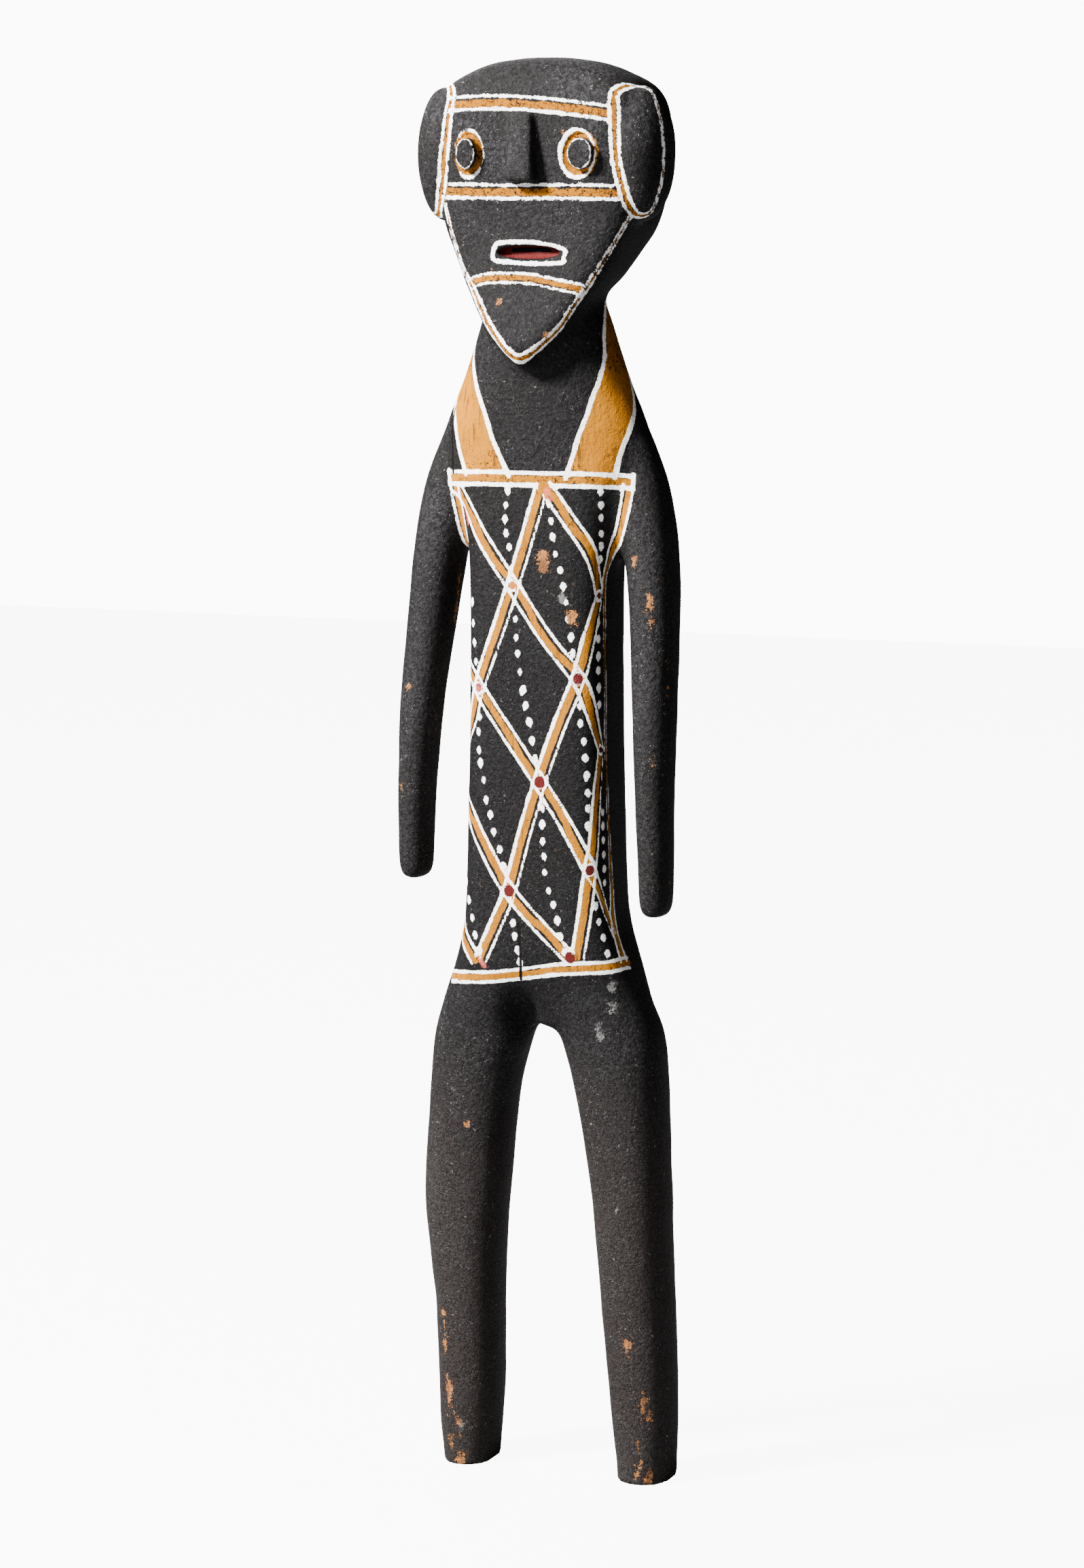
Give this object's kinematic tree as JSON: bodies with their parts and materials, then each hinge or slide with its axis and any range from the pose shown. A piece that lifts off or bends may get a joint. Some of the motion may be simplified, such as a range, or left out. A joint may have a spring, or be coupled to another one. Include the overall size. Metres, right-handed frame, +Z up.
{
  "type": "spirit figure",
  "caption": "Slender standing figure carved from one piece of softwood, with pole-like legs, straight arms, a pointed chin, long ear pads and a painted lattice on the torso.",
  "frame": {"origin": "on the ground under the middle of the figure's box", "axes": "+Z up from the soles to the crown; the figure faces -Y and its left arm is on +X"},
  "size_m": [0.147, 0.1092, 0.7175],
  "materials": {
    "painted_wood": "matt black pigment with white, yellow ochre and red ochre painting"
  },
  "bodies": {
    "root": {"spirit_figure": "painted_wood"}
  },
  "joints": []
}
